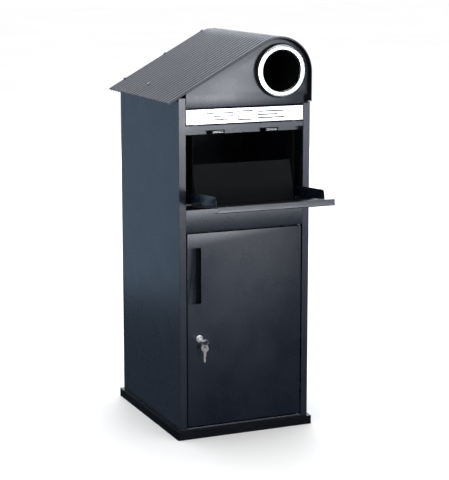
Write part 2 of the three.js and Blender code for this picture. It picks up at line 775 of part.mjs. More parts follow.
// Hangs from the lowest point of the ring, turned half way out of the ring's plane.
function spareKey() {
  const holeBelowWire = 2;
  const upright = toGeometry(flatKey()).rotateX(-Math.PI / 2).rotateZ(-Math.PI / 4);
  const drop = RING.radius + holeBelowWire + KEY.holeCentre;
  return toSolid(upright.translate(ringCentre[0], ringCentre[1], ringCentre[2] - drop));
}

function doorPin(bottomEnd) {
  const [from, to] = bottomEnd ? [BASE + 1.5, DOOR.bottom + 6] : [DOOR.top - 6, DOOR.top + 10];
  return bar("z", 3, doorHinge, from, to);
}

// ---- Assembly ----
addPart(root, "plinth", plinth(), "plinthPaint");
addPart(root, "floor_panel", floorPanel(), "innerPaint");
addPart(root, "left_side_panel", leftSidePanel(), "paint");
addPart(root, "right_side_panel", rightSidePanel(), "paint");
addPart(root, "back_panel", backPanel(), "paint");
addPart(root, "left_front_post", leftPost(), "paint");
addPart(root, "right_front_post", rightPost(), "paint");
addPart(root, "bottom_rail", bottomRail(), "paint");
addPart(root, "middle_rail", middleRail(), "paint");
addPart(root, "head_rail", headRail(), "paint");
addPart(root, "left_magnetic_catch", magneticCatch(-1), "innerPaint");
addPart(root, "right_magnetic_catch", magneticCatch(1), "innerPaint");
addPart(root, "gable_panel", gablePanel(), "paint");
addPart(root, "roof_sheet", roofSheet(), "roofPaint");
ROOF_SEATS.forEach((seat, i) => addPart(root, `roof_screw_${i + 1}`, screw(ROOF_SCREW, seat), "zinc"));
addPart(root, "post_screw", screw(POST_SCREW, POST_SEAT), "zinc");
addPart(root, "newspaper_tube", newspaperTube(), "innerPaint");
addPart(root, "bezel_gasket", bezelGasket(), "rubber");
addPart(root, "bezel_ring", bezelRing(), "polished");
addPart(root, "letter_chute", letterChute(), "innerPaint");
addPair(root, "hopper_guard", leftGuard, "innerPaint");
addPair(root, "hopper_pin", leftHopperPin, "zinc");
addPair(root, "flap_pin", leftFlapPin, "zinc");
addPart(root, "door_pin_top", doorPin(false), "zinc");
addPart(root, "door_pin_bottom", doorPin(true), "zinc");

root.add(hopper);
addPart(hopper, "hopper_tray", hopperTray(), "paint");
addPair(hopper, "hopper_cheek", leftHopperCheek, "innerPaint");
addPart(hopper, "hopper_back_plate", hopperBackPlate(), "innerPaint");

addPart(root, "letter_flap", letterFlap(), "polished");

addPart(root, "door_panel", doorPanel(), "paint");
addPart(root, "door_stiffener", doorStiffener(), "innerPaint");
addPart(root, "handle_cup", handleCup(), "paint");
addPart(root, "lock_barrel", lockBarrel(), "chrome");
addPart(root, "lock_nut", lockNut(), "zinc");
addPart(root, "lock_plug", lockPlug(), "chrome");
addPart(root, "lock_cam", lockCam(), "zinc");
addPart(root, "cam_screw", camScrew(), "zinc");
addPart(root, "lock_key", insertedKey(), "chrome");
addPart(root, "key_ring", keyRing(), "chrome");
addPart(root, "spare_key", spareKey(), "chrome");

export default root;
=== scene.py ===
"""The looks of the parcel drop box: detailed sheet-metal pieces and procedural finishes over its frame.

Lengths are in millimetres and are turned into metres when a mesh is made. Sizes that a CAD node's box gives
are read from the frame. The front of the parcel box faces -Y.
"""

import json
import math
from collections import namedtuple

import bmesh
import bpy
from mathutils import Matrix, Vector


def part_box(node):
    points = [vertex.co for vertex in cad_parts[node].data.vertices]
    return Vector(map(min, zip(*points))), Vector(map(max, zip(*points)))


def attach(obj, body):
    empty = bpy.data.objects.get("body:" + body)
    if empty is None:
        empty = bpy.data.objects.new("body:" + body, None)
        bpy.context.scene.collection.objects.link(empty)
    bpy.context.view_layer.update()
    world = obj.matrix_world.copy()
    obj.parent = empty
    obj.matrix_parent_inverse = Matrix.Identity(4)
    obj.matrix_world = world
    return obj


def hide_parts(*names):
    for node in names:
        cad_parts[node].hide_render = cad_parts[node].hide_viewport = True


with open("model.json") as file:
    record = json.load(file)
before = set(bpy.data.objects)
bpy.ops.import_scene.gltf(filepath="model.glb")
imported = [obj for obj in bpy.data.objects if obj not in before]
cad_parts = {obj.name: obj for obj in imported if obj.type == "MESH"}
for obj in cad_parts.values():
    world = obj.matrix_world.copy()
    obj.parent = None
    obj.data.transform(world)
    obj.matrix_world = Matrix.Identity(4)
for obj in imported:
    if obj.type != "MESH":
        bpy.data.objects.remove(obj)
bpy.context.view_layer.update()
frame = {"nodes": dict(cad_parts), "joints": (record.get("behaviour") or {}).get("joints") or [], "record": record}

MM = 0.001
TOUCHING = 1e-6  # points closer than this, in metres, are one point
SHEET = 1.2  # thickness of the folded sheet
BEND = 1.5  # centre-line radius of a fold
CLEARANCE = 0.3  # between pieces that are fitted into each other
JOINTS = {joint["name"]: joint for joint in frame["joints"]}
Extent = namedtuple("Extent", "x0 x1 y0 y1 z0 z1")


def extent(node):
    """The box round a CAD node."""
    low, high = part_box(node)
    return Extent(*(value / MM for pair in zip(low, high) for value in pair))


def centre_of(node):
    """Centre of a CAD node in X and Z."""
    box = extent(node)
    return (box.x0 + box.x1) / 2, (box.z0 + box.z1) / 2


def half_width(node):
    """Half of a CAD node's width."""
    box = extent(node)
    return (box.x1 - box.x0) / 2


# ---------------------------------------------------------------------------------------------------------
# Materials, with lengths in metres
# ---------------------------------------------------------------------------------------------------------
class Look:
    """A material's node tree, with short calls for the nodes used here."""

    def __init__(self, name):
        self.material = bpy.data.materials.new(name)
        self.material.use_nodes = True
        self.tree = self.material.node_tree
        self.shader = self.tree.nodes["Principled BSDF"]
        self.place = self.node("TexCoord").outputs["Object"]

    def feed(self, socket, value):
        """Gives a socket a number, a vector, a colour or another node's output."""
        if isinstance(value, bpy.types.NodeSocket):
            self.tree.links.new(value, socket)
        elif socket.type == "RGBA":
            socket.default_value = (*value, 1)
        else:
            socket.default_value = value

    def node(self, kind, **inputs):
        """A new node with some of its inputs, written with _ for a space."""
        made = self.tree.nodes.new(f"ShaderNode{kind}")
        for name, value in inputs.items():
            self.feed(made.inputs[name.replace("_", " ")], value)
        return made

    def surface(self, **inputs):
        """Sets the shader's own inputs."""
        for name, value in inputs.items():
            self.feed(self.shader.inputs[name.replace("_", " ")], value)

    def stretched(self, scale):
        return self.node("Mapping", Scale=scale, Vector=self.place).outputs["Vector"]

    def noise(self, scale, detail=3.0, roughness=0.5, place=None):
        """Cloudy noise between 0 and 1, with about scale lumps to the metre."""
        made = self.node("TexNoise", Scale=scale, Detail=detail, Roughness=roughness)
        self.feed(made.inputs["Vector"], place or self.place)
        return made.outputs["Fac"]

    def remap(self, value, low, high, from_low=0.3, from_high=0.7):
        """Spreads the range from_low to from_high over low to high, and keeps the value within those."""
        made = self.node("MapRange", Value=value, From_Min=from_low, From_Max=from_high)
        self.feed(made.inputs["To Min"], low)
        self.feed(made.inputs["To Max"], high)
        return made.outputs["Result"]

    def mix(self, factor, first, second):
        """A colour between two colours."""
        made = self.node("Mix")
        made.data_type = "RGBA"
        sockets = [socket for socket in made.inputs if socket.type == "RGBA"]
        for socket, value in zip((made.inputs["Factor"], *sockets), (factor, first, second)):
            self.feed(socket, value)
        return next(socket for socket in made.outputs if socket.type == "RGBA")

    def maths(self, operation, first, second):
        made = self.node("Math")
        made.operation = operation
        for socket, value in zip(made.inputs, (first, second)):
            self.feed(socket, value)
        return made.outputs[0]

    def bump(self, height, strength, distance, **inputs):
        made = self.node("Bump", Height=height, Strength=strength, Distance=distance, **inputs)
        return made.outputs["Normal"]

    def edges(self, radius):
        """1 where the surface bends within a radius, 0 where it is flat."""
        softened = self.node("Bevel", Radius=radius)
        softened.samples = 4
        likeness = self.node("VectorMath")
        likeness.operation = "DOT_PRODUCT"
        self.feed(likeness.inputs[0], softened.outputs["Normal"])
        self.feed(likeness.inputs[1], self.node("NewGeometry").outputs["Normal"])
        return self.remap(likeness.outputs["Value"], 1.0, 0.0, 0.75, 0.98)

    def upward(self):
        """1 where the surface faces up, 0 where it is upright or faces down."""
        split = self.node("SeparateXYZ", Vector=self.node("NewGeometry").outputs["Normal"])
        return self.remap(split.outputs["Z"], 0.0, 1.0, 0.35, 0.95)


def powder_coat(name, base, worn, dust, roughness, texture=0.12, specular=1.0, coat=0.5):
    """Baked powder paint: orange peel, slow tonal drift, brighter edges and dust on what faces up."""
    look = Look(name)
    light = tuple(min(1.0, channel * 1.12 + 0.0008) for channel in base)
    shade = tuple(channel * 0.90 for channel in base)
    drift = look.remap(look.noise(7.0, 4.0, 0.6), 0.0, 1.0)
    colour = look.mix(drift, shade, light)
    speckle = look.remap(look.noise(2600.0, 1.0), 0.0, 0.1, 0.5, 0.72)
    colour = look.mix(speckle, colour, worn)
    scuffs = look.remap(look.noise(60.0, 5.0, 0.7), 0.15, 0.75, 0.35, 0.6)
    colour = look.mix(look.maths("MULTIPLY", look.edges(0.7 * MM), scuffs), colour, worn)
    dust_patches = look.remap(look.noise(28.0, 6.0, 0.65), 0.15, 0.6)
    dusty = look.maths("MULTIPLY", look.upward(), dust_patches)
    colour = look.mix(dusty, colour, dust)
    uneven = look.maths("ADD", look.remap(look.noise(14.0, 2.0, 0.5), -0.03, 0.03), roughness)
    dull = look.maths("ADD", uneven, look.maths("MULTIPLY", dusty, 0.2))
    peel = look.bump(look.noise(1100.0, 2.0), texture, 0.12 * MM)
    ripple = look.bump(look.noise(7.0, 1.0), 0.2, 0.6 * MM, Normal=peel)
    look.surface(Base_Color=colour, Roughness=dull, Normal=ripple)
    look.surface(Specular_IOR_Level=specular, Coat_Weight=coat, Coat_Roughness=0.26)
    return look.material


def metal(name, base, tarnish, roughness, scratches, direction=(1, 1, 1), depth=0.15, metallic=1.0):
    """Bare or plated metal with cloudy patches, and scratches drawn out along a direction."""
    look = Look(name)
    cloud = look.remap(look.noise(35.0, 5.0, 0.6), 0.0, 1.0)
    lines = look.noise(scratches, 3.0, 0.6, look.stretched(direction))
    patches = look.remap(cloud, roughness, roughness + 0.05, 0.0, 1.0)
    rough = look.maths("ADD", look.remap(lines, -0.05, 0.08), patches)
    grooves = look.bump(lines, depth, 0.04 * MM)
    colour = look.mix(cloud, base, tarnish)
    look.surface(Base_Color=colour, Roughness=rough, Normal=grooves, Metallic=metallic)
    return look.material


def rubber(name, base, bloom):
    """Matt rubber with a paler bloom in patches."""
    look = Look(name)
    colour = look.mix(look.remap(look.noise(90.0, 5.0), 0.0, 1.0), base, bloom)
    rough = look.remap(look.noise(400.0, 3.0), 0.55, 0.8)
    grain = look.bump(look.noise(1800.0, 2.0), 0.3, 0.1 * MM)
    look.surface(Base_Color=colour, Roughness=rough, Normal=grain, Specular_IOR_Level=0.3)
    return look.material


FINISH = {
    "body_paint": powder_coat(
        "body_paint", base=(0.0042, 0.0074, 0.0165), worn=(0.028, 0.037, 0.052), dust=(0.018, 0.020, 0.025),
        roughness=0.28, texture=0.04),
    # roof_paint is painted light: a lighter copy of the body's paint, standing in for the light that the roof
    # catches from above.
    "roof_paint": powder_coat(
        "roof_paint", base=(0.066, 0.073, 0.104), worn=(0.17, 0.18, 0.21), dust=(0.10, 0.105, 0.115),
        roughness=0.44, texture=0.04, specular=0.7),
    "plinth_paint": powder_coat(
        "plinth_paint", base=(0.0022, 0.0032, 0.006), worn=(0.014, 0.017, 0.023), dust=(0.010, 0.012, 0.015),
        roughness=0.4, specular=0.2, coat=0.05),
    "inner_paint": powder_coat(
        "inner_paint", base=(0.005, 0.0056, 0.007), worn=(0.06, 0.065, 0.075), dust=(0.012, 0.012, 0.014),
        roughness=0.6, specular=0.15, coat=0.0),
    "polished_steel": metal(
        "polished_steel", base=(0.93, 0.94, 0.95), tarnish=(0.86, 0.87, 0.89), roughness=0.07,
        scratches=500.0, direction=(0.05, 1, 1), depth=0.02),
    "chrome": metal(
        "chrome", base=(0.88, 0.88, 0.88), tarnish=(0.70, 0.70, 0.69), roughness=0.22,
        scratches=900.0, direction=(1, 1, 0.15), depth=0.08, metallic=0.72),
    "zinc_steel": metal(
        "zinc_steel", base=(0.62, 0.64, 0.66), tarnish=(0.42, 0.43, 0.44), roughness=0.34,
        scratches=700.0, metallic=0.85),
    "gasket_rubber": rubber("gasket_rubber", base=(0.006, 0.006, 0.007), bloom=(0.018, 0.018, 0.019)),
}


# ---------------------------------------------------------------------------------------------------------
# Mesh building
# ---------------------------------------------------------------------------------------------------------
def new_object(name, data):
    made = bpy.data.objects.new(name, data)
    bpy.context.scene.collection.objects.link(made)
    return made


def soften(piece, width=0.3, segments=2):
    """Small rounded edges, with flat faces kept flat."""
    edge = piece.modifiers.new("edge", "BEVEL")
    edge.width = width * MM
    edge.segments = segments
    edge.limit_method = "ANGLE"
    edge.angle_limit = math.radians(38)
    edge.harden_normals = True


def add_piece(name, mesh, body, slot, *replaces, smooth=35, edge=0.0, segments=2):
    """Makes a mesh a visible piece that rides its body. Edge is the radius of its softened edges."""
    piece = new_object(name, mesh)
    mesh.shade_smooth()
    mesh.set_sharp_from_angle(angle=math.radians(smooth))
    mesh.materials.clear()
    mesh.materials.append(FINISH[slot])
    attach(piece, body)
    if replaces:
        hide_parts(*replaces)
    if edge:
        soften(piece, edge, segments)
    return piece


def keep_cad(node, slot):
    """A CAD node whose shape is right: its own mesh, with rounded edges and its finish."""
    piece = frame["nodes"][node]
    weld = piece.modifiers.new("weld", "WELD")
    weld.merge_threshold = TOUCHING
    soften(piece)
    piece.data.materials.clear()
    piece.data.materials.append(FINISH[slot])


def mesh_from(name, vertices, faces):
    """A mesh with its faces turned outward."""
    mesh = bpy.data.meshes.new(name)
    mesh.from_pydata([Vector(vertex) * MM for vertex in vertices], [], faces)
    work = bmesh.new()
    work.from_mesh(mesh)
    bmesh.ops.recalc_face_normals(work, faces=work.faces)
    work.to_mesh(mesh)
    work.free()
    return mesh


def turned(mesh, turn):
    """The mesh, moved and turned by a matrix in metres."""
    mesh.transform(turn)
    return mesh


def mirrored(mesh):
    """A mirror image of the mesh, left for right."""
    copy = mesh.copy()
    copy.transform(Matrix.Scale(-1, 4, (1, 0, 0)))
    copy.flip_normals()
    return copy


def merged(name, *meshes):
    """Several meshes as one."""
    work = bmesh.new()
    for mesh in meshes:
        work.from_mesh(mesh)
    made = bpy.data.meshes.new(name)
    work.to_mesh(made)
    work.free()
    return made


def shown(holder):
    """The mesh that an object shows, with its modifiers."""
    return bpy.data.meshes.new_from_object(holder.evaluated_get(bpy.context.evaluated_depsgraph_get()))


def cut(mesh, *cutters):
    """The mesh with other meshes cut out of it."""
    target = new_object("target", mesh)
    tools = [new_object("tool", cutter) for cutter in cutters]
    for tool in tools:
        step = target.modifiers.new("cut", "BOOLEAN")
        step.object = tool
        step.solver = "EXACT"
    made = shown(target)
    for thing in (target, *tools):
        bpy.data.objects.remove(thing)
    return made


# For each axis, the places of the two coordinates across it and of the one along it.
AXES = {"x": (1, 2, 0), "y": (0, 2, 1), "z": (0, 1, 2)}


def at(axis, a, b, along):
    """A point from its two coordinates across an axis and its place along it."""
    point = [0.0, 0.0, 0.0]
    for place, value in zip(AXES[axis], (a, b, along)):
        point[place] = value
    return tuple(point)


def prism(name, axis, outline, start, end):
    """An outline across an axis, drawn out from start to end."""
    count = len(outline)
    vertices = [at(axis, a, b, place) for place in (start, end) for a, b in outline]
    sides = [(i, (i + 1) % count, (i + 1) % count + count, i + count) for i in range(count)]
    return mesh_from(name, vertices, [*sides, tuple(range(count)), tuple(range(count, 2 * count))])


def lathe(name, profile, centre, steps=96):
    """A closed profile of (radius, y) turned about an axis along Y."""
    count = len(profile)
    vertices = []
    for i in range(steps):
        angle = 2 * math.pi * i / steps
        for radius, y in profile:
            vertices.append((centre[0] + radius * math.cos(angle), y, centre[1] + radius * math.sin(angle)))
    faces = []
    for i in range(steps):
        for j in range(count):
            here, there = i * count, ((i + 1) % steps) * count
            faces.append((here + j, there + j, there + (j + 1) % count, here + (j + 1) % count))
    return mesh_from(name, vertices, faces)


def arc(centre, radius, start, end, steps):
    """Points of an arc, its angles in degrees."""
    angles = [math.radians(start + (end - start) * i / steps) for i in range(steps + 1)]
    return [(centre[0] + radius * math.cos(a), centre[1] + radius * math.sin(a)) for a in angles]


def circle(centre, radius, steps=48):
    return arc(centre, radius, 0, 360 * (1 - 1 / steps), steps - 1)


def rectangle(x0, x1, y0, y1):
    """Anticlockwise corners, in whichever two coordinates."""
    return [(x0, y0), (x1, y0), (x1, y1), (x0, y1)]


def rounded(path, radius, steps=4, closed=False):
    """A path of 2-D points with its corners rounded."""
    nearly_straight, longest_share = 0.02, 0.45
    points = [Vector(point) for point in path]
    count = len(points)
    made = []
    for i, point in enumerate(points):
        if not closed and i in (0, count - 1):
            made.append(point)
            continue
        before, after = points[i - 1] - point, points[(i + 1) % count] - point
        half = before.angle(after) / 2
        if math.pi / 2 - half < nearly_straight:
            made.append(point)
            continue
        reach = min(radius / math.tan(half), longest_share * before.length, longest_share * after.length)
        first, last = point + before.normalized() * reach, point + after.normalized() * reach
        for k in range(steps + 1):
            t = k / steps
            made.append(first * (1 - t) ** 2 + point * 2 * t * (1 - t) + last * t * t)
    return [tuple(point) for point in made]


def offset(path, distance, closed=False):
    """A path moved sideways, to the left of its direction. An anticlockwise outline moves inward."""
    points = [Vector(point) for point in path]
    count = len(points)
    made = []
    for i, point in enumerate(points):
        normals = []
        for here in (i - 1, i):
            if not closed:
                here = min(max(here, 0), count - 2)
            along = (points[(here + 1) % count] - points[here]).normalized()
            normals.append(Vector((-along.y, along.x)))
        before, after = normals
        made.append(tuple(point + (before + after) * (distance / (1 + before.dot(after)))))
    return made


def folded(path, bend=BEND):
    """Outline of a folded sheet with rounded bends; the path is its face, the metal lies to its left."""
    middle = rounded(offset(path, SHEET / 2), bend)
    return [*offset(middle, -SHEET / 2), *reversed(offset(middle, SHEET / 2))]


def pan(name, outline, front, depth, towards=1):
    """A sheet in XZ with its rim folded back; front is its face's y, towards the way that the rim goes."""
    bend, steps = 2.0, 4
    inner = bend - SHEET
    turns = [math.pi / 2 * i / steps for i in range(steps + 1)]
    rings = [(bend * (1 - math.sin(turn)), bend * (1 - math.cos(turn))) for turn in turns]
    rings += [(0, depth), (SHEET, depth)]
    rings += [(bend - inner * math.sin(turn), bend - inner * math.cos(turn)) for turn in reversed(turns)]
    count = len(outline)
    vertices = []
    for distance, deep in rings:
        vertices += [(x, front + towards * deep, z) for x, z in offset(outline, distance, closed=True)]
    faces = [tuple(range(count)), tuple(range((len(rings) - 1) * count, len(rings) * count))]
    for r in range(len(rings) - 1):
        for i in range(count):
            j = (i + 1) % count
            faces.append((r * count + i, r * count + j, (r + 1) * count + j, (r + 1) * count + i))
    return mesh_from(name, vertices, faces)


def plate(name, outlines, thickness, edge):
    """A flat plate in XY, centred on z = 0. The first outline is its rim, and any others are holes."""
    curve = bpy.data.curves.new(name, "CURVE")
    curve.dimensions = "2D"
    curve.fill_mode = "BOTH"
    curve.extrude = (thickness / 2 - edge) * MM
    curve.bevel_depth = edge * MM
    curve.bevel_resolution = 1
    curve.offset = -edge * MM
    for outline in outlines:
        spline = curve.splines.new("POLY")
        spline.points.add(len(outline) - 1)
        for point, (x, y) in zip(spline.points, outline):
            point.co = (x * MM, y * MM, 0, 1)
        spline.use_cyclic_u = True
    holder = new_object(name, curve)
    mesh = shown(holder)
    bpy.data.objects.remove(holder)
    work = bmesh.new()
    work.from_mesh(mesh)
    bmesh.ops.remove_doubles(work, verts=work.verts, dist=TOUCHING)
    bmesh.ops.recalc_face_normals(work, faces=work.faces)
    work.to_mesh(mesh)
    work.free()
    return mesh


# ---------------------------------------------------------------------------------------------------------
# Cabinet
# ---------------------------------------------------------------------------------------------------------
DOOR, ROOF, LEFT_POST = extent("door_panel"), extent("roof_sheet"), extent("left_front_post")
FRONT, BACK = DOOR.y0, extent("back_panel").y1
SIDE, BASE = extent("back_panel").x1, extent("left_side_panel").z0
ROOF_RADIUS = 102.0
ROOF_SLOPE = math.radians(29)
ROOF_UNDER = 7.0  # from the crests of the roof down to the walls under it
SKIRT = ROOF.x1 - ROOF_UNDER  # outside of the walls behind the roof's skirt
SKIRT_STEP = ROOF.z0 - 3  # where the right-hand wall steps in behind the skirt
GABLE_STEP = LEFT_POST.z1 + 4  # where the gable steps in behind the skirt
TOP_CORNER = math.radians(5)  # from upright to the highest corner of the CAD's arc, which is a polygon
ARC = (ROOF.x1 - ROOF_RADIUS, ROOF.z1 - ROOF_RADIUS * math.cos(TOP_CORNER))
TUBE, TUBE_RADIUS = centre_of("newspaper_tube"), half_width("newspaper_tube")


def slope_height(x, under):
    """Height at x of a line at some distance under the crests of the roof's slope."""
    radius = ROOF_RADIUS - under
    tangent_x, tangent_z = ARC[0] - radius * math.sin(ROOF_SLOPE), ARC[1] + radius * math.cos(ROOF_SLOPE)
    return tangent_z + (x - tangent_x) * math.tan(ROOF_SLOPE)


def wall_outline(left, right, bottom, step):
    """Anticlockwise outline of a wall under the roof, which steps in behind the skirt at its right."""
    outline = [(left, bottom), (right, bottom), (right, step), (SKIRT, step)]
    outline += arc(ARC, ROOF_RADIUS - ROOF_UNDER, 0, 90 + math.degrees(ROOF_SLOPE), 28)
    outline.append((left, slope_height(left, ROOF_UNDER)))
    return outline


def roof_stations(slope_steps=8, arc_steps=40):
    """Points in X and Z, and the way they face: up the slope, over the arc and down the skirt."""
    foot = Vector((ROOF.x0, slope_height(ROOF.x0, 0)))
    along = Vector((math.cos(ROOF_SLOPE), math.sin(ROOF_SLOPE)))
    length = (ARC[0] - ROOF_RADIUS * math.sin(ROOF_SLOPE) - ROOF.x0) / math.cos(ROOF_SLOPE)
    stations = []
    for k in range(slope_steps + 1):
        stations.append((foot + along * length * k / slope_steps, Vector((-along.y, along.x))))
    for k in range(1, arc_steps + 1):
        angle = (math.pi / 2 + ROOF_SLOPE) * (1 - k / arc_steps)
        facing = Vector((math.cos(angle), math.sin(angle)))
        stations.append((Vector(ARC) + facing * ROOF_RADIUS, facing))
    stations += [(Vector((ROOF.x1, ROOF.z0 + height)), Vector((1, 0))) for height in (40, 1, 0)]
    return stations


def roof_wave(ribs=24, samples=14, depth=5.0, squareness=2.2):
    """Points across the corrugation: their y, and how far they lie inside the crests."""
    count = ribs * samples + 1
    wave = []
    for j in range(count):
        turn = math.cos(2 * math.pi * (j / samples - 0.5))
        inside = depth * (0.5 - 0.5 * math.tanh(squareness * turn) / math.tanh(squareness))
        wave.append((ROOF.y0 + (ROOF.y1 - ROOF.y0) * j / (count - 1), inside))
    return wave


def make_roof():
    """A corrugated sheet, its underside in the darker inner paint as painted shade, for the shadow under the
    roof's overhang.
    """
    thickness = 1.0
    stations, wave = roof_stations(), roof_wave()
    vertices = []
    for point, facing in stations:
        for sheet_depth, row in ((0.0, wave), (thickness, wave[::-1])):
            for y, inside in row:
                x, z = point - facing * (inside + sheet_depth)
                vertices.append((x, y, z))
    count, last = len(wave), len(stations) - 1
    ring = 2 * count
    faces = []
    for i in range(last):
        for j in range(ring):
            k = (j + 1) % ring
            faces.append((i * ring + j, i * ring + k, (i + 1) * ring + k, (i + 1) * ring + j))
    for start in (0, last * ring):
        for j in range(count - 1):
            faces.append((start + j, start + j + 1, start + ring - 2 - j, start + ring - 1 - j))
    mesh = mesh_from("roof", vertices, faces)
    roof = add_piece("corrugated_roof", mesh, "cabinet", "roof_paint", "roof_sheet", smooth=40)
    # Painted shade: the sheet's underside takes the dark inner paint, standing in for the shadow under the roof's
    # overhang.
    roof.data.materials.append(FINISH["inner_paint"])
    for polygon in roof.data.polygons:
        outside = polygon.index % ring < count - 1 or polygon.index >= last * ring
        polygon.material_index = 0 if outside else 1


def make_plinth():
    """A folded base pan: a bottom plate with anchor holes, walls, and a ledge that the body stands on."""
    box = extent("plinth")
    wall, ledge, anchor_inset, anchor_radius, beyond = 2.0, 25.0, 60.0, 5.5, 5.0

    def block(margin, low, high, radius):
        corners = rectangle(box.x0 + margin, box.x1 - margin, box.y0 + margin, box.y1 - margin)
        return prism("block", "z", rounded(corners, radius, 5, closed=True), low, high)

    hollows = [block(wall, box.z0 + wall, box.z1 - wall, 1.0)]
    hollows.append(block(ledge, box.z1 - 2 * wall, box.z1 + beyond, 3.0))
    for x in (box.x0 + anchor_inset, box.x1 - anchor_inset):
        for y in (box.y0 + anchor_inset, box.y1 - anchor_inset):
            anchor = circle((x, y), anchor_radius, 32)
            hollows.append(prism("anchor", "z", anchor, box.z0 - beyond, box.z0 + wall + 1))
    pan_mesh = cut(block(0, box.z0, box.z1, 2.5), *hollows)
    add_piece("base_pan", pan_mesh, "cabinet", "plinth_paint", "plinth", edge=0.8, segments=3)


def make_walls():
    box = extent("left_side_panel")
    flange, skirt = LEFT_POST.x1 - 1, SKIRT - 0.5
    left = [(x, slope_height(x, ROOF_UNDER)) for x in (flange, -SIDE)] + [(-SIDE, BASE)]
    right = [(SIDE, BASE), (SIDE, SKIRT_STEP), (skirt, SKIRT_STEP), (skirt, GABLE_STEP - 1)]
    for name, path in (("left", left), ("right", right)):
        wall = prism(name, "y", folded(path), box.y0, box.y1)
        add_piece(f"{name}_wall", wall, "cabinet", "body_paint", f"{name}_side_panel", edge=0.3)
    outline = wall_outline(-SIDE, SIDE, BASE, SKIRT_STEP)
    back = pan("back", outline, BACK, BACK - extent("back_panel").y0, towards=-1)
    add_piece("back_wall", back, "cabinet", "body_paint", "back_panel", edge=0.25)


def make_gable():
    box = extent("gable_panel")
    outline = wall_outline(box.x0, box.x1, box.z0, GABLE_STEP)
    hole = prism("hole", "y", circle(TUBE, TUBE_RADIUS + CLEARANCE, 128), box.y0 - 5, box.y0 + 3)
    gable = cut(pan("gable", outline, box.y0, box.y1 - box.y0), hole)
    add_piece("gable_front", gable, "cabinet", "body_paint", "gable_panel", edge=0.25)


def make_rails():
    """The rails under and over the door, folded back to a stop behind its edges."""
    rail, sill = extent("middle_rail"), extent("bottom_rail")
    stop, overlap = FRONT + 21.8, 3
    top, head = DOOR.z0 - overlap, DOOR.z1 + overlap
    sill_path = [(stop, sill.z1), (stop, top), (FRONT, top), (FRONT, sill.z0)]
    rail_path = [(LEFT_POST.y1 - 4, rail.z1), (FRONT, rail.z1), (FRONT, head), (stop, head), (stop, rail.z0)]
    for name, path, node in (("sill", sill_path, "bottom_rail"), ("cross_rail", rail_path, "middle_rail")):
        mesh = prism(name, "x", folded(path), rail.x0, rail.x1)
        add_piece(name, mesh, "cabinet", "body_paint", node, edge=0.3)


def make_guards():
    """The plates beside the hopper's mouth, each with a small stop for the hopper's tail."""
    box = extent("left_hopper_guard")
    edge, back = box.x1 - SHEET, box.y1 - SHEET
    left = folded([(box.x0, back), (edge, back), (edge, box.y0)])
    shield = prism("shield", "z", left, box.z0, box.z1)
    stop_x, stop_y, stop_z = (edge - 10, edge + 0.5), (-196, -188), (709, 711)
    stop = prism("stop", "z", rectangle(*stop_x, *stop_y), *stop_z)
    mesh = merged("guard", shield, stop)
    for side, shape in (("left", mesh), ("right", mirrored(mesh))):
        add_piece(f"{side}_guard", shape, "cabinet", "inner_paint", f"{side}_hopper_guard", edge=0.3)


def make_tube():
    """The newspaper tube, its rubber gasket, whose black rim is partly painted shade, and the polished ring that
    rolls into it.
    """
    box = extent("newspaper_tube")
    inner, outer, chamfer = TUBE_RADIUS - 1.5, TUBE_RADIUS, 0.4
    tube = [(inner + chamfer, box.y0), (outer - chamfer, box.y0), (outer, box.y0 + chamfer),
            (outer, box.y1), (inner, box.y1), (inner, box.y0 + chamfer)]
    add_piece("paper_tube", lathe("tube", tube, TUBE), "cabinet", "inner_paint", "newspaper_tube")

    box = extent("bezel_gasket")
    inner, outer = inner + 5, half_width("bezel_gasket")
    lip = rounded([(inner, box.y1), (inner, box.y0), (outer, box.y0), (outer, box.y1)], 0.9, closed=True)
    # Partly painted shade: a real rubber gasket, whose black rim round the bezel also stands in for the bezel's
    # shadow on the gable.
    add_piece("tube_gasket", lathe("gasket", lip, TUBE, 128), "cabinet", "gasket_rubber", "bezel_gasket")

    box = extent("bezel_ring")
    outer = half_width("bezel_ring")
    roll, rim, bore = 6.0, 2.0, outer - 19.5
    profile = [(bore, box.y1), *arc((bore + roll, box.y0 + roll), roll, 180, 270, 12)]
    profile += arc((outer - rim, box.y0 + rim), rim, 270, 360, 6)
    profile += [(outer, box.y1 - chamfer), (outer - chamfer, box.y1)]
    bezel = lathe("bezel", profile, TUBE, 160)
    add_piece("tube_bezel", bezel, "cabinet", "polished_steel", "bezel_ring", smooth=50)


def make_catch_plates():
    """The two steel poles in the face of each magnetic catch."""
    inset, proud, sunk = 3.6, 0.1, 1.3
    for side in ("left", "right"):
        box = extent(f"{side}_magnetic_catch")
        poles = []
        for low, high in ((box.z0 + 3.3, box.z0 + 4.4), (box.z1 - 4.2, box.z1 - 3.4)):
            face = rounded(rectangle(box.x0 + inset, box.x1 - inset, low, high), 0.5, 3, closed=True)
            poles.append(prism("pole", "y", face, box.y0 - proud, box.y0 + sunk))
        add_piece(f"{side}_catch_poles", merged("poles", *poles), "cabinet", "chrome", edge=0.15)


# ---------------------------------------------------------------------------------------------------------
# Hopper, made shut with its hinge at the origin, then turned open
# ---------------------------------------------------------------------------------------------------------
TRAY_FACE, TRAY_FOOT, TRAY_LENGTH = -4.0, -5.0, 218.0  # y of the tray's front, and z of its ends


def hopper_turn():
    hinge = JOINTS["hopper_hinge"]
    opened = math.radians(hinge["range_deg"][1])
    return Matrix.Translation(hinge["pos_m"]) @ Matrix.Rotation(opened, 4, "X")


def tray_path():
    """The tray from its foot to its top, where the pull is folded forward and down."""
    lip_projection, lip_drop = 17.0, 25.0
    lip = TRAY_FACE - SHEET - lip_projection
    tray = [(TRAY_FACE, TRAY_FOOT), (TRAY_FACE, TRAY_LENGTH)]
    return [*tray, (lip, TRAY_LENGTH), (lip, TRAY_LENGTH - lip_drop)]


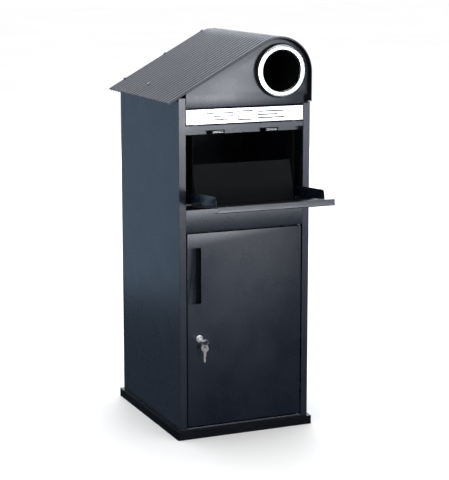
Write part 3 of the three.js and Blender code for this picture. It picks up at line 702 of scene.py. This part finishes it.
def back_plate_path():
    """A tab on the tray, and the plate that leans away from it."""
    lean, reach, bottom, tab_top = math.radians(6.5), 115.0, 8, 28
    root = TRAY_FACE + CLEARANCE
    end = (root + reach * math.cos(lean), bottom - reach * math.sin(lean))
    return [(root, tab_top), (root, bottom), end]


def cheek_outline():
    """A cheek from its foot at the tray, past its tail inside the box, to its top."""
    height, tail, foot_end = 180.0, -40.0, 18
    root, tail_edge, top_edge = TRAY_FACE + CLEARANCE, TRAY_FACE + 43, TRAY_FACE + 26
    notch, tail_point = (foot_end, TRAY_FOOT), (foot_end, tail)
    rear, top = (tail_edge, tail), (top_edge, height)
    tail_corners = rounded([notch, tail_point, rear, top], 3)[1:-1]
    top_corner = rounded([rear, top, (root, height)], 14, 8)[1:-1]
    return [(root, TRAY_FOOT), notch, *tail_corners, *top_corner, (root, height)]


def make_hopper():
    turn = hopper_turn()
    half = extent("hopper_tray").x1
    tray = turned(prism("tray", "x", folded(tray_path()), -half, half), turn)
    add_piece("tilting_tray", tray, "hopper", "body_paint", "hopper_tray", edge=0.4)
    half = extent("hopper_back_plate").x1
    shield = turned(prism("shield", "x", folded(back_plate_path()), -half, half), turn)
    # Painted shade: the back plate takes the dark inner paint so that it sinks into the shaded inside of the box.
    add_piece("tray_back", shield, "hopper", "inner_paint", "hopper_back_plate", edge=0.4)
    thickness = 1.5
    outside = extent("right_hopper_cheek").x1 - thickness / 2
    for side, x in (("left", -outside), ("right", outside)):
        upright = Matrix(((0, 0, 1, x * MM), (1, 0, 0, 0), (0, 1, 0, 0), (0, 0, 0, 1)))
        cheek = turned(plate(f"{side}_cheek", [cheek_outline()], thickness, 0.3), turn @ upright)
        add_piece(f"{side}_cheek", cheek, "hopper", "body_paint", f"{side}_hopper_cheek")


# ---------------------------------------------------------------------------------------------------------
# Letter flap, with a generic embossing: a plain rectangle between plain lines
# ---------------------------------------------------------------------------------------------------------
def emboss_lines(middle):
    """Segments of the embossing, in X and Z."""
    half, tall, line_start = 22.0, 12.0, 38.0
    corners = rectangle(-half, half, -tall, tall)
    segments = [(corners[i], corners[(i + 1) % 4]) for i in range(4)]
    for side in (-1, 1):
        for row, line_end in ((-9.0, 118.0), (0.0, 96.0), (9.0, 118.0)):
            segments.append(((side * line_start, row), (side * line_end, row)))
    return [((ax, az + middle), (bx, bz + middle)) for (ax, az), (bx, bz) in segments]


def emboss_height(x, z, segments, width=1.5, height=0.45):
    """Height of a roof-shaped ridge along the segments."""
    nearest = width
    for (ax, az), (bx, bz) in segments:
        length = (bx - ax) ** 2 + (bz - az) ** 2
        t = min(1.0, max(0.0, ((x - ax) * (bx - ax) + (z - az) * (bz - az)) / length))
        nearest = min(nearest, math.hypot(x - ax - t * (bx - ax), z - az - t * (bz - az)))
    return height * (1 - nearest / width)


def flap_mesh(box, step=0.6):
    """A sheet as a fine grid with the embossing pressed out of it, closed by a rim."""
    segments = emboss_lines((box.z0 + box.z1) / 2)
    columns, rows = round((box.x1 - box.x0) / step), round((box.z1 - box.z0) / step)
    across, grid = columns + 1, (columns + 1) * (rows + 1)
    face = []
    for r in range(rows + 1):
        for c in range(across):
            x, z = box.x0 + (box.x1 - box.x0) * c / columns, box.z0 + (box.z1 - box.z0) * r / rows
            face.append((x, box.y0 - emboss_height(x, z, segments), z))
    vertices = face + [(x, y + SHEET, z) for x, y, z in face]
    faces = []
    for r in range(rows):
        for c in range(columns):
            corner = r * across + c
            quad = (corner, corner + 1, corner + across + 1, corner + across)
            faces += [quad, tuple(grid + k for k in (quad[0], quad[3], quad[2], quad[1]))]
    rim = [*range(across), *(r * across + columns for r in range(1, rows + 1))]
    rim += [rows * across + c for c in range(columns - 1, -1, -1)]
    rim += [r * across for r in range(rows - 1, 0, -1)]
    for here, there in zip(rim, rim[1:] + rim[:1]):
        faces.append((here, there, grid + there, grid + here))
    return mesh_from("flap", vertices, faces)


def make_flap():
    box = extent("letter_flap")
    add_piece("embossed_flap", flap_mesh(box), "letter_flap", "polished_steel", "letter_flap", smooth=20)
    below_hinge = 6
    ear_bottom = JOINTS["letter_flap_hinge"]["pos_m"][2] / MM - below_hinge
    outline = rounded(rectangle(box.y0 + SHEET, box.y1, ear_bottom, box.z1), 1.0, 3, closed=True)
    ears = [prism("ear", "x", outline, inner, inner + SHEET) for inner in (box.x0, box.x1 - SHEET)]
    add_piece("flap_ears", merged("ears", *ears), "letter_flap", "polished_steel", edge=0.2)


# ---------------------------------------------------------------------------------------------------------
# Door, lock and keys
# ---------------------------------------------------------------------------------------------------------
LOCK = centre_of("lock_barrel")
LOCK_X, LOCK_Z = LOCK
HANDLE = extent("handle_cup")
HANDLE_RIGHT = LOCK_X + 6  # right-hand edge of the handle's opening


def make_door():
    opening = rectangle(HANDLE.x0 + 0.4, HANDLE_RIGHT, HANDLE.z0 + SHEET, HANDLE.z1 - SHEET)
    before, behind, corner, lock_hole = DOOR.y0 - 5, DOOR.y0 + 2, 1.5, 8.5
    handle = prism("handle", "y", rounded(opening, corner, closed=True), before, behind)
    lock = prism("lock", "y", circle(LOCK, lock_hole), before, behind)
    outline = rectangle(DOOR.x0, DOOR.x1, DOOR.z0, DOOR.z1)
    skin = cut(pan("door_skin", outline, DOOR.y0, DOOR.y1 - DOOR.y0), handle, lock)
    add_piece("door_skin", skin, "door", "body_paint", "door_panel", edge=0.25)


def make_handle():
    """The recessed handle: a floor that slopes in, and a pocket behind the door's skin in the dark inner paint, as
    painted shade deep in the recess.
    """
    near, far, end = FRONT + SHEET + CLEARANCE, HANDLE.y1 - SHEET, HANDLE.x1 - SHEET
    drop, pocket_width, tuck, bend, beyond, half = 4, 13.5, 3, 1.2, 1, SHEET / 2
    left, start, sink = HANDLE.x0 + CLEARANCE, HANDLE_RIGHT - pocket_width, near + drop
    floor = folded([(left, near - half), (start, sink), (start, sink + tuck)], bend)
    closing = [(left + 2, near), (start - half, sink + half), (start - half, far + half),
               (end + half, far + half), (end + half, near)]
    ends = [prism("end", "z", closing, low, low + SHEET) for low in (HANDLE.z0, HANDLE.z1 - SHEET)]
    skin = rectangle(-SIDE, 0, near - 5, near)
    cutters = [prism("skin", "z", skin, low, low + SHEET + beyond)
               for low in (HANDLE.z0 - beyond, HANDLE.z1 - SHEET)]
    slope = cut(merged("slope", prism("floor", "z", floor, HANDLE.z0, HANDLE.z1), *ends), *cutters)
    add_piece("handle_slope", slope, "door", "body_paint", "handle_cup", edge=0.2)
    inset = SHEET + 0.1
    path = folded([(start, sink + tuck + CLEARANCE), (start, far), (end, far), (end, near)], bend)
    pocket = prism("pocket", "z", path, HANDLE.z0 + inset, HANDLE.z1 - inset)
    # Painted shade: the pocket takes the dark inner paint so that the depth of the recess reads as shadow.
    add_piece("handle_pocket", pocket, "door", "inner_paint", edge=0.2)


def make_lock():
    """A cam lock's barrel with its rim, and its plug with a slot that the key fills."""
    box, head = extent("lock_barrel"), half_width("lock_barrel")
    body, bore, rim_back = head - 2, head - 4.9, box.y0 + 2.5
    profile = [(bore, box.y1), (bore, box.y0 + 0.6), (bore + 0.6, box.y0 + 0.1), (bore + 1.4, box.y0),
               (head - 1.2, box.y0), (head - 0.3, box.y0 + 0.4), (head, box.y0 + 1.1), (head, rim_back),
               (body, rim_back), (body, box.y1)]
    add_piece("lock_body", lathe("lock_body", profile, LOCK), "door", "chrome", "lock_barrel")

    box, radius = extent("lock_plug"), half_width("lock_plug")
    axis, chamfer = 0.02, 0.5
    profile = [(axis, box.y0), (radius - chamfer, box.y0), (radius, box.y0 + chamfer),
               (radius, box.y1), (axis, box.y1)]
    half, tall = 4.1, 1.3
    slot = rectangle(LOCK_X - half, LOCK_X + half, LOCK_Z - tall, LOCK_Z + tall)
    plug = cut(lathe("plug", profile, LOCK, 64), prism("slot", "y", slot, box.y0 - 2, box.y0 + 20))
    add_piece("lock_core", plug, "lock_plug", "chrome", "lock_plug", edge=0.12)


def key_outlines(blade_end):
    """A flat key in XY: its bow towards -Y, its blade towards +Y, with cuts along one side."""
    half_bow = [(4.5, -7.5), (8.6, -9.5), (11, -14), (11, -19), (8.4, -24.6), (4.2, -27)]
    bow = [(-x, y) for x, y in half_bow] + half_bow[::-1]
    cuts = [(0, 4.5), (0.4, 3.6), (3, 3.6), (4.5, 2.2), (6, 2.2), (7.5, 3.2), (9, 1.6), (10.5, 1.6),
            (12, 2.8), (13.5, 1.9), (15, 1.9), (16.5, 3.1), (18, 2.4), (20, 2.4)]
    right = [(x, y) for y, x in cuts if y < blade_end - 2]
    tip = [(1.2, blade_end), (-1.2, blade_end), (-3.6, blade_end - 3)]
    left = [(-3.6, 0.4), (-4.5, 0)]
    return [rounded([*bow, *right, *tip, *left], 1.4, 3, closed=True), circle((0, -21.5), 3.7, 32)]


def make_keys():
    thickness, edge, bow_length = 2.0, 0.25, 27
    place = Matrix.Translation(Vector((LOCK_X, extent("lock_key").y0 + bow_length, LOCK_Z)) * MM)
    key = turned(plate("key", key_outlines(20.5), thickness, edge), place)
    add_piece("key_in_lock", key, "lock_plug", "chrome", "lock_key")

    box = extent("spare_key")
    shoulder = Vector(((box.x0 + box.x1) / 2, (box.y0 + box.y1) / 2, box.z1 - bow_length)) * MM
    hanging = Matrix.Rotation(-math.pi / 4, 4, "Z") @ Matrix.Rotation(-math.pi / 2, 4, "X")
    place = Matrix.Translation(shoulder) @ hanging
    spare = turned(plate("spare", key_outlines(24), thickness, edge), place)
    add_piece("second_key", spare, "key_ring", "chrome", "spare_key")


def make_split_ring():
    """A wire wound in two turns."""
    box = extent("key_ring")
    x, z = centre_of("key_ring")
    wire, turns, steps, sides, spread = 0.42, 2, 120, 10, 0.76
    radius = half_width("key_ring") - 2 * wire + 0.04
    vertices = []
    for i in range(steps + 1):
        angle = 2 * math.pi * turns * i / steps
        middle = (box.y0 + box.y1) / 2 + spread * (i / steps - 0.5)
        for j in range(sides):
            around = 2 * math.pi * j / sides
            reach = radius + wire * math.cos(around)
            y = middle + wire * math.sin(around)
            vertices.append((x + reach * math.cos(angle), y, z + reach * math.sin(angle)))
    faces = [tuple(range(sides)), tuple(range(steps * sides, (steps + 1) * sides))]
    for i in range(steps):
        for j in range(sides):
            k = (j + 1) % sides
            faces.append((i * sides + j, i * sides + k, (i + 1) * sides + k, (i + 1) * sides + j))
    add_piece("split_ring", mesh_from("ring", vertices, faces), "key_ring", "chrome", "key_ring")


make_plinth()
make_roof()
make_walls()
make_gable()
make_rails()
make_guards()
make_tube()
make_catch_plates()
make_hopper()
make_flap()
make_door()
make_handle()
make_lock()
make_keys()
make_split_ring()
for record in frame["record"]["subparts"]:
    if not frame["nodes"][record["node"]].hide_render:
        keep_cad(record["node"], record["material_slot"])


# ---------------------------------------------------------------------------------------------------------
# Floor, light and camera, in metres
# ---------------------------------------------------------------------------------------------------------
def make_camera():
    """The photograph's camera, as fitted to the box's edges."""
    lens, place = 115.86, (-1.7557, -4.1569, 1.3865)
    azimuth, elevation = math.radians(-23.35), math.radians(10.84)
    camera = new_object("camera", bpy.data.cameras.new("camera"))
    camera.data.lens = lens
    camera.data.sensor_width = 36.0
    camera.data.clip_end = 100
    camera.location = place
    level = math.cos(elevation)
    back = Vector((math.sin(azimuth) * level, -math.cos(azimuth) * level, math.sin(elevation)))
    camera.rotation_mode = "QUATERNION"
    camera.rotation_quaternion = (-back).to_track_quat("-Z", "Y")
    bpy.context.scene.camera = camera


def add_panel(name, place, target, width, height, strength, colour=(1, 1, 1)):
    """A soft rectangular light that no camera sees; its strength is the brightness of its face."""
    light = bpy.data.lights.new(name, "AREA")
    light.shape = "RECTANGLE"
    light.size, light.size_y = width, height
    light.energy = strength * width * height * math.pi
    light.color = colour
    holder = new_object(name, light)
    holder.location = place
    aim = Vector(target) - Vector(place)
    holder.rotation_mode = "QUATERNION"
    holder.rotation_quaternion = aim.to_track_quat("-Z", "Y")
    holder.visible_camera = False


def make_floor():
    look = Look("floor")
    patches = look.remap(look.noise(0.7, 2.0), 0.0, 1.0)
    look.surface(Base_Color=look.mix(patches, (0.95, 0.95, 0.95), (0.97, 0.97, 0.97)))
    look.surface(Roughness=0.9, Specular_IOR_Level=0.1)
    half = 30.0
    mesh = bpy.data.meshes.new("floor")
    mesh.from_pydata([(x, y, 0) for x, y in rectangle(-half, half, -half, half)], [], [(0, 1, 2, 3)])
    mesh.materials.append(look.material)
    floor = new_object("floor", mesh)
    floor.visible_glossy = False


def make_world():
    world = bpy.data.worlds.new("studio")
    bpy.context.scene.world = world
    world.use_nodes = True
    background = world.node_tree.nodes["Background"]
    background.inputs["Color"].default_value = (1, 1, 1, 1)
    background.inputs["Strength"].default_value = 1.08
    world.cycles_visibility.glossy = False


make_camera()
make_floor()
make_world()
# Seen from the camera, the flat front mirrors the first four: a bright band, brighter towards its left, with
# dimmer light over and under it. The far panel is mirrored when the box is seen from the front right.
add_panel("front_panel", (1.50, -4.9, 0.63), (0, 0, 0.75), 2.45, 0.74, 2.9, (0.86, 0.90, 1.0))
add_panel("front_left_panel", (1.10, -4.7, 0.61), (0, 0, 0.85), 1.6, 0.74, 4.4, (0.92, 0.94, 1.0))
add_panel("front_high_panel", (1.50, -4.9, 1.90), (0, 0, 0.75), 2.4, 1.1, 2.4, (0.90, 0.93, 1.0))
add_panel("front_low_panel", (1.60, -4.9, -0.40), (0, 0, 0.2), 2.6, 1.1, 0.22, (0.42, 0.60, 1.0))
add_panel("front_far_panel", (-2.3, -4.8, 1.2), (0, 0, 0.9), 3.6, 2.4, 0.55, (0.90, 0.94, 1.0))
# These three light the roof, brightest over its ridge.
add_panel("roof_panel", (0.5, 5.4, 3.5), (0, 0, 1.0), 4.5, 2.6, 2.2, (0.88, 0.92, 1.0))
add_panel("ridge_panel", (2.5, 5.4, 2.2), (0, 0, 1.0), 2.4, 2.6, 6.0, (0.88, 0.92, 1.0))
add_panel("top_panel", (0.2, 0.6, 4.0), (0, 0, 0.6), 3.0, 3.0, 1.0)
# The left-hand wall mirrors these two, and so darkens towards its foot.
add_panel("side_panel_light", (-1.25, 2.3, 0.65), (-0.2, 0, 0.75), 1.6, 1.6, 0.40, (0.53, 0.75, 1.0))
add_panel("side_low_light", (-1.0, 1.9, -0.45), (-0.2, 0, 0.1), 1.5, 0.9, 0.09, (0.53, 0.72, 1.0))
bpy.context.scene.view_settings.view_transform = "Standard"
